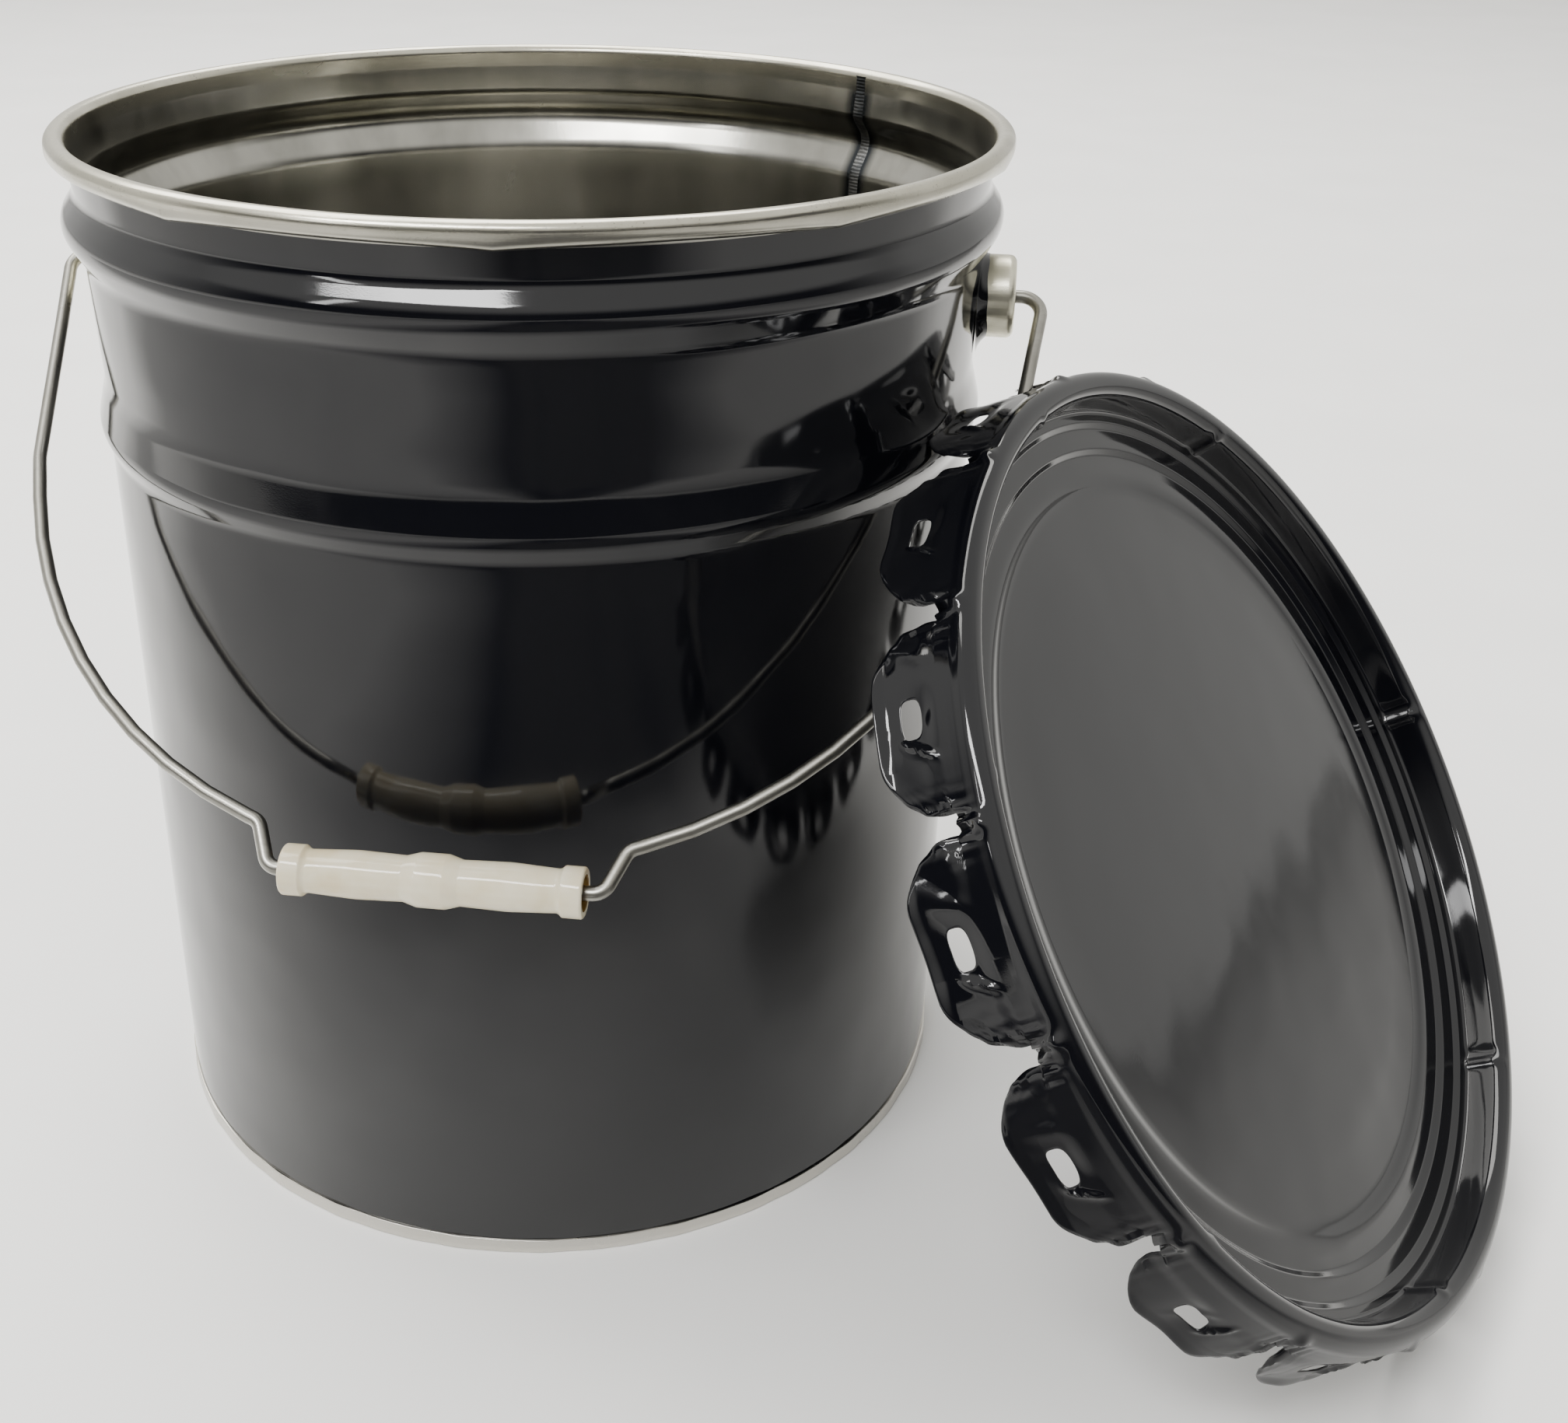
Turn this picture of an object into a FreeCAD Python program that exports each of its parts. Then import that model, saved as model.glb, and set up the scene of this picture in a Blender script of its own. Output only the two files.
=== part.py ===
"""Open-head steel pail of about 20 litres with a wire bail and a lug cover.

The frame has its origin at the centre of the pail's base, with +Z up. The pail is pressed sheet
steel: a side wall with a rolled curl and two swaged beads, a seamed-on bottom end and two welded
bail ears. The lug cover is off and leans against the pail's right side, with its outer face out.
"""
import FreeCAD, Part
import math
import os
import Sketcher

NODE_FOLDER = "parts"
DIMENSIONS = {
    # side wall: radii are the outer surface's, heights are above the base
    "wall_sheet": 0.6,
    "wall_start_height": 1.4,
    "base_radius": 138.8,
    "lower_bead_foot_radius": 141.95,
    "lower_bead_foot_height": 243.6,
    "lower_bead_crest_radius": 144.95,
    "lower_bead_crest_height": 250.4,
    "lower_bead_top_radius": 141.6,
    "lower_bead_top_height": 264.0,
    "upper_bead_foot_radius": 143.35,
    "upper_bead_foot_height": 302.6,
    "upper_bead_crest_radius": 150.3,
    "upper_bead_crest_height": 314.0,
    "neck_radius": 144.0,
    "neck_height": 322.5,
    # rolled curl at the mouth
    "curl_outer_radius": 151.0,
    "curl_section": 6.3,
    "pail_height": 340.0,
    "curl_lip_gap": 1.0,
    "mouth_height": 7.5,
    # longitudinal weld, inside
    "weld_width_angle": 2.6,
    "weld_rise": 0.4,
    "weld_start_height": 9.0,
    # bottom end and its seam
    "end_sheet": 0.6,
    "seam_height": 5.1,
    "seam_clearance": 0.07,
    "panel_rise": 6.0,
    "panel_step_radius": 121.0,
    "panel_step_rise": 1.5,
    # bail ears
    "ear_height": 287.3,
    "ear_radius": 13.3,
    "ear_face_distance": 154.0,
    "ear_root_distance": 139.0,
    "ear_sheet": 1.0,
    "ear_edge_round": 2.4,
    # bail wire, measured in the bail's own plane from the ears' axis
    "wire_radius": 2.15,
    "wire_clearance": 0.05,
    "wire_head_radius": 4.0,
    "wire_head_thickness": 2.0,
    "wire_end_distance": 149.6,
    "leg_distance": 163.4,
    "kink_distance": 152.8,
    "kink_drop": 80.0,
    "bow_distance": 127.8,
    "bow_drop": 167.1,
    "bow_bend": 150.0,
    "jog_distance": 54.0,
    "jog_drop": 195.0,
    "grip_seat_half": 48.5,
    "grip_drop": 208.4,
    # moulded grip
    "grip_half_length": 43.5,
    "grip_collar_radius": 7.35,
    "grip_collar_length": 6.0,
    "grip_waist_radius": 6.2,
    "grip_belly_radius": 6.95,
    "grip_bead_half": 6.0,
    "grip_bead_radius": 7.8,
    "grip_end_bore_radius": 5.1,
    "grip_end_bore_depth": 12.0,
    # lug cover: heights are above the plane of the lug tips
    "cover_sheet": 0.5,
    "cover_radius": 152.8,
    "cover_crest_height": 28.5,
    "cover_crest_width": 8.8,
    "cover_crest_round": 4.2,
    "skirt_root_drop": 6.0,
    "lug_tip_radius": 157.4,
    "well_drop": 12.0,
    "well_radius": 143.2,
    "ledge_radius": 140.2,
    "second_drop": 15.0,
    "second_outer_radius": 136.4,
    "second_inner_radius": 131.0,
    "third_drop": 16.6,
    "third_outer_radius": 127.4,
    "third_inner_radius": 121.0,
    "panel_drop": 17.8,
    "panel_radius": 117.0,
    # lugs, each with its slot
    "lug_count": 16,
    "lug_half_width": 25.6,
    "lug_root_drop": 10.5,
    "lug_corner_round": 14.5,
    "notch_reach": 33.0,
    "slot_half_length": 5.5,
    "slot_half_width": 3.25,
    "slot_drop": 18.8,
    "cut_start_distance": 147.0,
    "cut_depth": 20.0,
    # gasket in the cover's channel
    "gasket_depth": 5.0,
}

# Placement of the leaning cover and the resting bail, in millimetres and degrees.
EAR_AZIMUTH = -13.1
BAIL_SWING_FROM_HANGING = 50.2
COVER_CENTRE = FreeCAD.Vector(200.90, -119.00, 130.30)
COVER_AZIMUTH = -36.6
COVER_LEAN = 34.5
LUG_SPIN = 5.8
WELD_AZIMUTH = 36.0

SKETCH_POINT = {"start": 1, "end": 2}
HORIZONTAL_AXIS = -1
VERTICAL_AXIS = -2


class Dim:
    """A length together with the expression that ties it to the spreadsheet."""

    def __init__(self, value, text):
        self.value = float(value)
        self.text = text

    def __add__(self, other):
        other = dim(other)
        return Dim(self.value + other.value, f"({self.text} + {other.text})")

    def __sub__(self, other):
        other = dim(other)
        return Dim(self.value - other.value, f"({self.text} - {other.text})")

    def __mul__(self, factor):
        return Dim(self.value * factor, f"({self.text} * {factor})")


def dim(item):
    """Turn a cell's name or a plain number into a Dim."""
    if isinstance(item, Dim):
        return item
    if isinstance(item, str):
        return Dim(DIMENSIONS[item], f"dims.{item}")
    return Dim(item, str(float(item)))


def make_sheet(doc):
    sheet = doc.addObject("Spreadsheet::Sheet", "dims")
    for row, (name, number) in enumerate(DIMENSIONS.items(), start=1):
        sheet.set(f"A{row}", name)
        sheet.set(f"B{row}", str(number))
        sheet.setAlias(f"B{row}", name)
    doc.recompute()
    return sheet


def origin_feature(body, role):
    return next(item for item in body.Origin.OriginFeatures if item.Role == role)


def new_sketch(body, name, plane="XZ_Plane"):
    sketch = body.newObject("Sketcher::SketchObject", name)
    sketch.AttachmentSupport = [(origin_feature(body, plane), "")]
    sketch.MapMode = "FlatFace"
    return sketch


def pin_point(sketch, geometry, position, corner):
    """Tie a point of the sketch to its corner's two coordinates."""
    for kind, axis, length in (
        ("DistanceX", VERTICAL_AXIS, dim(corner[0])),
        ("DistanceY", HORIZONTAL_AXIS, dim(corner[1])),
    ):
        if length.value == 0.0:
            sketch.addConstraint(Sketcher.Constraint("PointOnObject", geometry, position, axis))
            continue
        index = sketch.addConstraint(Sketcher.Constraint(kind, geometry, position, length.value))
        sketch.setExpression(f"Constraints[{index}]", length.text)


def rounding(before, corner, after, radius):
    """Tangent points, centre and turning side of an arc that rounds a corner."""
    way_in = (corner - before).normalize()
    way_out = (after - corner).normalize()
    turn = way_in.getAngle(way_out)
    side = 1.0 if way_in.cross(way_out).z > 0.0 else -1.0
    reach = radius * math.tan(turn / 2.0)
    start = corner - way_in * reach
    end = corner + way_out * reach
    centre = start + FreeCAD.Vector(-way_in.y, way_in.x, 0.0) * (radius * side)
    return start, end, centre, side


def direction_angle(vector):
    return math.atan2(vector.y, vector.x)


def arc_between(start, end, centre, side):
    """An arc round a centre, and which of its ends the outline meets first."""
    circle = Part.Circle(centre, FreeCAD.Vector(0, 0, 1), (start - centre).Length)
    if side > 0.0:
        arc = Part.ArcOfCircle(circle, direction_angle(start - centre), direction_angle(end - centre))
        return arc, "start", "end"
    arc = Part.ArcOfCircle(circle, direction_angle(end - centre), direction_angle(start - centre))
    return arc, "end", "start"


def draw_outline(sketch, corners, closed=True):
    """Draw straight runs between corners, each corner sharp or rounded by its own radius.

    A corner is (across, up) or (across, up, radius), in cell names, Dims or plain numbers.
    """
    count = len(corners)
    points = [FreeCAD.Vector(dim(c[0]).value, dim(c[1]).value, 0.0) for c in corners]
    entry = list(points)
    leave = list(points)
    bends = {}
    for i, corner in enumerate(corners):
        inside = closed or 0 < i < count - 1
        if len(corner) < 3 or not inside:
            continue
        radius = dim(corner[2])
        start, end, centre, side = rounding(
            points[i - 1], points[i], points[(i + 1) % count], radius.value
        )
        entry[i] = start
        leave[i] = end
        bends[i] = (arc_between(start, end, centre, side), radius)

    runs = count if closed else count - 1
    lines = []
    for i in range(runs):
        line = Part.LineSegment(leave[i], entry[(i + 1) % count])
        lines.append(sketch.addGeometry(line, False))
    for i, corner in enumerate(corners):
        before = lines[i - 1] if closed or i > 0 else None
        after = lines[i] if i < runs else None
        if i in bends:
            join_rounded(sketch, corner, points[i], before, after, bends[i])
        else:
            join_sharp(sketch, corner, before, after)
    sketch.Document.recompute()
    if sketch.solve() != 0:
        raise RuntimeError(f"sketch {sketch.Name} doesn't solve")


def join_sharp(sketch, corner, before, after):
    if before is not None and after is not None:
        ends = (before, SKETCH_POINT["end"], after, SKETCH_POINT["start"])
        sketch.addConstraint(Sketcher.Constraint("Coincident", *ends))
    if after is not None:
        pin_point(sketch, after, SKETCH_POINT["start"], corner)
    else:
        pin_point(sketch, before, SKETCH_POINT["end"], corner)


def join_rounded(sketch, corner, point, before, after, bend):
    (arc, first, last), radius = bend
    curve = sketch.addGeometry(arc, False)
    apex = sketch.addGeometry(Part.Point(point), True)
    arrive = (before, SKETCH_POINT["end"], curve, SKETCH_POINT[first])
    depart = (curve, SKETCH_POINT[last], after, SKETCH_POINT["start"])
    sketch.addConstraint(Sketcher.Constraint("Tangent", *arrive))
    sketch.addConstraint(Sketcher.Constraint("Tangent", *depart))
    size = sketch.addConstraint(Sketcher.Constraint("Radius", curve, radius.value))
    sketch.setExpression(f"Constraints[{size}]", radius.text)
    for line in (before, after):
        sketch.addConstraint(Sketcher.Constraint("PointOnObject", apex, 1, line))
    pin_point(sketch, apex, 1, corner)


def new_body(doc, label):
    body = doc.addObject("PartDesign::Body", label)
    body.Label = label
    return body


def revolve(body, sketch, axis="V_Axis", angle=360.0):
    feature = body.newObject("PartDesign::Revolution", f"{sketch.Name}_turned")
    feature.Profile = sketch
    feature.ReferenceAxis = (sketch, [axis])
    feature.Angle = angle
    sketch.Visibility = False
    return feature


def wall_line(inset):
    """Corners of the side wall from its lower edge up to the neck, moved inwards by inset."""
    heights_and_rounds = (
        ("base_radius", "wall_start_height", None),
        ("lower_bead_foot_radius", "lower_bead_foot_height", 8.0),
        ("lower_bead_crest_radius", "lower_bead_crest_height", 8.0),
        ("lower_bead_top_radius", "lower_bead_top_height", 20.0),
        ("upper_bead_foot_radius", "upper_bead_foot_height", 10.0),
        ("upper_bead_crest_radius", "upper_bead_crest_height", 7.5),
        ("neck_radius", "neck_height", 5.0),
    )
    corners = []
    for radius, height, bend in heights_and_rounds:
        across = dim(radius) - inset
        corners.append((across, height) if bend is None else (across, height, bend))
    return corners


def make_pail_shell(doc):
    sheet = dim("wall_sheet")
    section = dim("curl_section")
    rim = dim("curl_outer_radius")
    top = dim("pail_height")
    mouth = rim - section
    mouth_foot = top - "mouth_height"
    outer_round = section * 0.46
    inner_round = outer_round - sheet
    lip = mouth + sheet + "curl_lip_gap"
    body = new_body(doc, "pail_shell")
    sketch = new_sketch(body, "shell_profile")
    inner = wall_line(sheet) + [(mouth, mouth_foot, 6.0)]
    curl = [
        (mouth, top, outer_round),
        (rim, top, outer_round),
        (rim, top - section, outer_round),
        (lip, top - section),
        (lip, top - section + sheet),
        (rim - sheet, top - section + sheet, inner_round),
        (rim - sheet, top - sheet, inner_round),
        (mouth + sheet, top - sheet, inner_round),
    ]
    outer = wall_line(0.0) + [(mouth + sheet, mouth_foot, 6.0)]
    draw_outline(sketch, inner + curl + outer[::-1])
    revolve(body, sketch)
    return body


def make_side_weld(doc):
    """The raised bead of the longitudinal weld, which follows the inside of the wall."""
    sheet = dim("wall_sheet")
    lowest = dim("weld_start_height")
    mouth = dim("curl_outer_radius") - "curl_section"
    mouth_foot = dim("pail_height") - "mouth_height"
    edges = []
    for inset, mouth_radius in ((sheet, mouth), (sheet + "weld_rise", mouth - "weld_rise")):
        # The bead starts a little way up the wall, on the line of the lower wall.
        foot = wall_line(inset)[1]
        slope = (foot[0].value - dim("base_radius").value + inset.value) / (
            dim("lower_bead_foot_height").value - dim("wall_start_height").value
        )
        rise = lowest.value - dim("wall_start_height").value
        start = (dim("base_radius") - inset + slope * rise, lowest)
        edges.append([start] + wall_line(inset)[1:] + [(mouth_radius, mouth_foot)])
    body = new_body(doc, "side_seam_weld")
    sketch = new_sketch(body, "weld_profile")
    draw_outline(sketch, edges[0] + edges[1][::-1])
    weld = revolve(body, sketch)
    weld.setExpression("Angle", "dims.weld_width_angle")
    turn = WELD_AZIMUTH - DIMENSIONS["weld_width_angle"] / 2.0
    body.Placement = FreeCAD.Placement(FreeCAD.Vector(), FreeCAD.Rotation(turn, 0, 0))
    return body


def make_pail_bottom(doc):
    sheet = dim("end_sheet")
    seat = dim("base_radius") - "wall_sheet"
    wrap = dim("base_radius") + "seam_clearance"
    rise = dim("panel_rise")
    step = dim("panel_step_radius")
    step_rise = dim("panel_step_rise")
    body = new_body(doc, "pail_bottom")
    sketch = new_sketch(body, "end_profile")
    underside = [
        (0, rise + step_rise),
        (step, rise + step_rise, 3.0),
        (step + 4.0, rise, 3.0),
        (seat - sheet, rise, 1.2),
        (seat - sheet, 0, 0.3),
    ]
    seam = [
        (wrap + sheet, 0, 0.9),
        (wrap + sheet, "seam_height", 0.25),
        (wrap, "seam_height"),
        (wrap, sheet),
        (seat, sheet),
    ]
    upper_face = [
        (seat, rise + sheet, 1.8),
        (step + 4.0, rise + sheet, 3.0),
        (step, rise + step_rise + sheet, 3.0),
        (0, rise + step_rise + sheet),
    ]
    draw_outline(sketch, underside + seam + upper_face)
    revolve(body, sketch)
    return body


def make_seam_compound(doc):
    """Sealing compound that fills the end's seam below the side wall's edge."""
    inner = dim("base_radius") - "wall_sheet"
    outer = dim("base_radius") + "seam_clearance"
    body = new_body(doc, "bottom_seam_compound")
    sketch = new_sketch(body, "compound_profile")
    corners = [
        (inner, "end_sheet"),
        (outer, "end_sheet"),
        (outer, "wall_start_height"),
        (inner, "wall_start_height"),
    ]
    draw_outline(sketch, corners)
    revolve(body, sketch)
    return body


def make_wall_cone(doc, label):
    """The outside of the wall between the beads, which an ear's edge is cut to."""
    cone = doc.addObject("Part::Cone", f"{label}_wall")
    cone.setExpression("Radius1", "dims.lower_bead_top_radius")
    cone.setExpression("Radius2", "dims.upper_bead_foot_radius")
    cone.setExpression("Height", "dims.upper_bead_foot_height - dims.lower_bead_top_height")
    cone.setExpression("Placement.Base.z", "dims.lower_bead_top_height")
    return cone


def make_ear(doc, label, azimuth):
    sheet = dim("ear_sheet")
    face = dim("ear_face_distance")
    root = dim("ear_root_distance")
    edge = dim("ear_radius")
    hole = dim("wire_radius") + "wire_clearance"
    cup = new_body(doc, f"{label}_cup")
    sketch = new_sketch(cup, f"{label}_profile")
    corners = [
        (root, edge - sheet),
        (root, edge),
        (face, edge, "ear_edge_round"),
        (face, hole),
        (face - sheet, hole),
        (face - sheet, edge - sheet, dim("ear_edge_round") - sheet),
    ]
    draw_outline(sketch, corners[::-1])
    revolve(cup, sketch, "H_Axis")
    height = FreeCAD.Vector(0, 0, DIMENSIONS["ear_height"])
    cup.Placement = FreeCAD.Placement(height, FreeCAD.Rotation(azimuth, 0, 0))
    ear = doc.addObject("Part::Cut", label)
    ear.Label = label
    ear.Base = cup
    ear.Tool = make_wall_cone(doc, label)
    return ear


def bail_placement(drop=0.0):
    """The bail's frame: X along the ears' axis, Z from that axis towards the grip."""
    turn = FreeCAD.Rotation(EAR_AZIMUTH, 0, 180.0 - BAIL_SWING_FROM_HANGING)
    centre = FreeCAD.Vector(0, 0, DIMENSIONS["ear_height"])
    return FreeCAD.Placement(centre + turn.multVec(FreeCAD.Vector(0, 0, drop)), turn)


def make_bail_wire(doc):
    """Half of the bail is drawn from the grip's middle to its headed end, then mirrored."""
    body = new_body(doc, "bail_wire")
    section = new_sketch(body, "wire_section", "YZ_Plane")
    circle = Part.Circle(
        FreeCAD.Vector(0, DIMENSIONS["grip_drop"], 0),
        FreeCAD.Vector(0, 0, 1),
        DIMENSIONS["wire_radius"],
    )
    ring = section.addGeometry(circle, False)
    size = section.addConstraint(Sketcher.Constraint("Radius", ring, circle.Radius))
    section.setExpression(f"Constraints[{size}]", "dims.wire_radius")
    pin_point(section, ring, 3, (0, "grip_drop"))

    route = new_sketch(body, "wire_route")
    corners = [
        (0, "grip_drop"),
        ("grip_seat_half", "grip_drop", 5.0),
        ("jog_distance", "jog_drop", 5.0),
        ("bow_distance", "bow_drop", "bow_bend"),
        ("kink_distance", "kink_drop", 20.0),
        ("leg_distance", 0, 6.5),
        (dim("wire_end_distance") + 1.0, 0),
    ]
    draw_outline(route, corners, closed=False)

    pipe = body.newObject("PartDesign::AdditivePipe", "wire_half")
    pipe.Profile = section
    pipe.Spine = (route, [])
    doc.recompute()

    head = new_sketch(body, "wire_head")
    inner = dim("wire_end_distance")
    outer = inner + "wire_head_thickness"
    head_edge = dim("wire_head_radius")
    draw_outline(head, [(inner, 0), (outer, 0), (outer, head_edge, 0.4), (inner, head_edge, 0.8)])
    upset = revolve(body, head, "H_Axis")
    doc.recompute()

    mirror = body.newObject("PartDesign::Mirrored", "wire_whole")
    mirror.Originals = [pipe, upset]
    mirror.MirrorPlane = (origin_feature(body, "YZ_Plane"), [""])
    body.Tip = mirror
    body.Placement = bail_placement()
    return body


def make_bail_grip(doc):
    half = dim("grip_half_length")
    collar = dim("grip_collar_radius")
    collar_end = half - "grip_collar_length"
    bead = dim("grip_bead_half")
    bore = dim("wire_radius") + "wire_clearance"
    mouth = dim("grip_end_bore_radius")
    bore_end = half - "grip_end_bore_depth"
    body = new_body(doc, "bail_grip")
    sketch = new_sketch(body, "grip_profile")
    right_half = [
        (bore_end, bore),
        (bore_end, mouth),
        (half, mouth, 0.4),
        (half, collar, 0.8),
        (collar_end, collar, 0.8),
        (collar_end - 1.2, "grip_waist_radius", 2.0),
        (22.0, "grip_belly_radius", 40.0),
        (bead + 2.2, 6.55, 1.5),
        (bead - 2.0, "grip_bead_radius", 3.0),
    ]
    left_half = [(dim(corner[0]) * -1.0, *corner[1:]) for corner in right_half[::-1]]
    draw_outline(sketch, right_half + left_half)
    revolve(body, sketch, "H_Axis")
    body.Placement = bail_placement(DIMENSIONS["grip_drop"])
    return body


def cover_placement():
    """The cover's frame: Z out of its outer face, X down the slope of its lean."""
    lean = FreeCAD.Rotation(COVER_AZIMUTH, 90.0 - COVER_LEAN, 0)
    spin = FreeCAD.Rotation(LUG_SPIN, 0, 0)
    return FreeCAD.Placement(COVER_CENTRE, lean.multiply(spin))


def cover_profile():
    """Outer face of the cover from the panel's centre to the lug tips, then back inside."""
    sheet = dim("cover_sheet")
    crest = dim("cover_crest_height")
    edge = dim("cover_radius")
    inner_wall = edge - "cover_crest_width"
    bend = dim("cover_crest_round")
    outer_face = [
        (0, crest - "panel_drop"),
        ("panel_radius", crest - "panel_drop", 8.0),
        ("third_inner_radius", crest - "third_drop", 8.0),
        ("third_outer_radius", crest - "third_drop", 3.0),
        ("second_inner_radius", crest - "second_drop", 3.0),
        ("second_outer_radius", crest - "second_drop", 3.0),
        ("ledge_radius", crest - "well_drop", 3.0),
        ("well_radius", crest - "well_drop", 1.5),
        (inner_wall, crest, bend),
        (edge, crest, bend),
        (edge, crest - "skirt_root_drop", 12.0),
        ("lug_tip_radius", 0),
    ]
    under_face = [
        (dim("lug_tip_radius") - sheet, 0),
        (edge - sheet, crest - "skirt_root_drop", 12.0),
        (edge - sheet, crest - sheet, bend - sheet),
        (inner_wall + sheet, crest - sheet, bend - sheet),
        (dim("well_radius") + sheet, crest - "well_drop" - sheet, dim(1.5) + sheet),
        (dim("ledge_radius"), crest - "well_drop" - sheet, 3.0),
        ("second_outer_radius", crest - "second_drop" - sheet, 3.0),
        ("second_inner_radius", crest - "second_drop" - sheet, 3.0),
        ("third_outer_radius", crest - "third_drop" - sheet, 3.0),
        ("third_inner_radius", crest - "third_drop" - sheet, 8.0),
        ("panel_radius", crest - "panel_drop" - sheet, 8.0),
        (0, crest - "panel_drop" - sheet),
    ]
    return outer_face + under_face


def cut_sketch(body, name):
    """A sketch that stands just inside the cover's skirt, facing outwards."""
    sketch = new_sketch(body, name, "YZ_Plane")
    sketch.setExpression("AttachmentOffset.Base.z", "dims.cut_start_distance")
    return sketch


def cut_all_round(body, sketch):
    """Cut a sketch outwards through the skirt, then repeat the cut for every lug."""
    volume = body.Shape.Volume
    pocket = body.newObject("PartDesign::Pocket", f"{sketch.Name}_cut")
    pocket.Profile = sketch
    pocket.Reversed = True
    pocket.setExpression("Length", "dims.cut_depth")
    body.Document.recompute()
    if body.Shape.Volume > volume - 1.0:
        raise RuntimeError(f"{pocket.Name} cuts nothing")
    pattern = body.newObject("PartDesign::PolarPattern", f"{sketch.Name}_ring")
    pattern.Originals = [pocket]
    pattern.Axis = (origin_feature(body, "Z_Axis"), [""])
    pattern.Angle = 360.0
    pattern.setExpression("Occurrences", "dims.lug_count")
    body.Tip = pattern
    body.Document.recompute()


def make_lid_cover(doc):
    body = new_body(doc, "lid_cover")
    profile = new_sketch(body, "cover_profile")
    draw_outline(profile, cover_profile())
    revolve(body, profile)
    doc.recompute()

    root = dim("cover_crest_height") - "lug_root_drop"
    side = dim("lug_half_width")
    reach = dim("notch_reach")
    tip = "lug_corner_round"
    for hand, name in ((1.0, "notch_left"), (-1.0, "notch_right")):
        notch = cut_sketch(body, name)
        corners = [
            (reach * hand, -4.0),
            (reach * hand, root),
            (side * hand, root, 1.5),
            (side * hand, 0.0, tip),
            (side * hand - dim(20.0) * hand, 0.0),
            (side * hand - dim(20.0) * hand, -4.0),
        ]
        draw_outline(notch, corners)
        cut_all_round(body, notch)

    slot = cut_sketch(body, "lug_slot")
    long_side = dim("slot_half_length")
    short_side = dim("slot_half_width")
    middle = dim("cover_crest_height") - "slot_drop"
    end_round = short_side - 0.4
    corners = [
        (long_side, middle - short_side, end_round),
        (long_side, middle + short_side, end_round),
        (long_side * -1.0, middle + short_side, end_round),
        (long_side * -1.0, middle - short_side, end_round),
    ]
    draw_outline(slot, corners)
    cut_all_round(body, slot)
    body.Placement = cover_placement()
    return body


def make_lid_gasket(doc):
    """Gasket that fills the top of the cover's channel."""
    sheet = dim("cover_sheet")
    crest = dim("cover_crest_height")
    bend = dim("cover_crest_round") - sheet
    outer = dim("cover_radius") - sheet
    inner = dim("cover_radius") - "cover_crest_width" + sheet
    body = new_body(doc, "lid_gasket")
    sketch = new_sketch(body, "gasket_profile")
    lower = crest - sheet - "gasket_depth"
    corners = [
        (inner, lower, 0.3),
        (inner, crest - sheet, bend),
        (outer, crest - sheet, bend),
        (outer, lower, 0.3),
    ]
    draw_outline(sketch, corners[::-1])
    revolve(body, sketch)
    body.Placement = cover_placement()
    return body


def build(doc):
    """Make every sub-part, and return those that are written out."""
    return [
        make_pail_shell(doc),
        make_side_weld(doc),
        make_pail_bottom(doc),
        make_seam_compound(doc),
        make_ear(doc, "ear_right", EAR_AZIMUTH),
        make_ear(doc, "ear_left", EAR_AZIMUTH + 180.0),
        make_bail_wire(doc),
        make_bail_grip(doc),
        make_lid_cover(doc),
        make_lid_gasket(doc),
    ]


def check(doc, nodes):
    for item in doc.Objects:
        if "Invalid" in item.State or "Error" in item.State:
            raise RuntimeError(f"{item.Name} failed: {item.State}")
    for node in nodes:
        if node.Shape.isNull() or not node.Shape.isValid():
            raise RuntimeError(f"{node.Label} has no valid shape")


def main():
    doc = FreeCAD.newDocument("pail")
    make_sheet(doc)
    nodes = build(doc)
    doc.recompute()
    check(doc, nodes)
    os.makedirs(NODE_FOLDER, exist_ok=True)
    for node in nodes:
        node.Shape.exportStep(os.path.join(NODE_FOLDER, f"{node.Label}.step"))
        box = node.Shape.BoundBox
        print(f"{node.Label:22s} {len(node.Shape.Solids)} solid, {node.Shape.Volume:10.1f} mm3, "
              f"z {box.ZMin:.2f} to {box.ZMax:.2f}")


main()
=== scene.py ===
"""Looks for the open steel pail and its leaning lug cover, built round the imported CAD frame.

Outlines are in millimetres and degrees, as in the CAD source, and become metres when a mesh is
made. Sheet pieces are turned or lofted here, so that they can carry the dents, pleats and facets
of pressed and painted steel.
"""

import math
import random

import bmesh
import bpy
import numpy as np
from mathutils import Matrix, Vector


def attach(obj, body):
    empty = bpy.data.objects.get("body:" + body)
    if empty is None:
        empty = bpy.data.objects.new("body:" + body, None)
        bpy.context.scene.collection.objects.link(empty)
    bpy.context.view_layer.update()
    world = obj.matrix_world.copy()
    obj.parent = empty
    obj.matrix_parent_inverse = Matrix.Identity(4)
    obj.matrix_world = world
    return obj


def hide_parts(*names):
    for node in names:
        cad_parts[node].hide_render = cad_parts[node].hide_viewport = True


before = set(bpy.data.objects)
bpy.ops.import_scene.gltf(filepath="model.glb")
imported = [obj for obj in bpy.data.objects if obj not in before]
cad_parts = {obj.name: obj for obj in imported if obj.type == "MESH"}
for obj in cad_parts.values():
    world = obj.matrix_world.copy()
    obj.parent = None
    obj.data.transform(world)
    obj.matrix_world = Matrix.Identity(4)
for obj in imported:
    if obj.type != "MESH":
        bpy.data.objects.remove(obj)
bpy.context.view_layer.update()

MM = 0.001
ARC_STEP = 9.0
WALL_COLUMNS = 360

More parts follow.
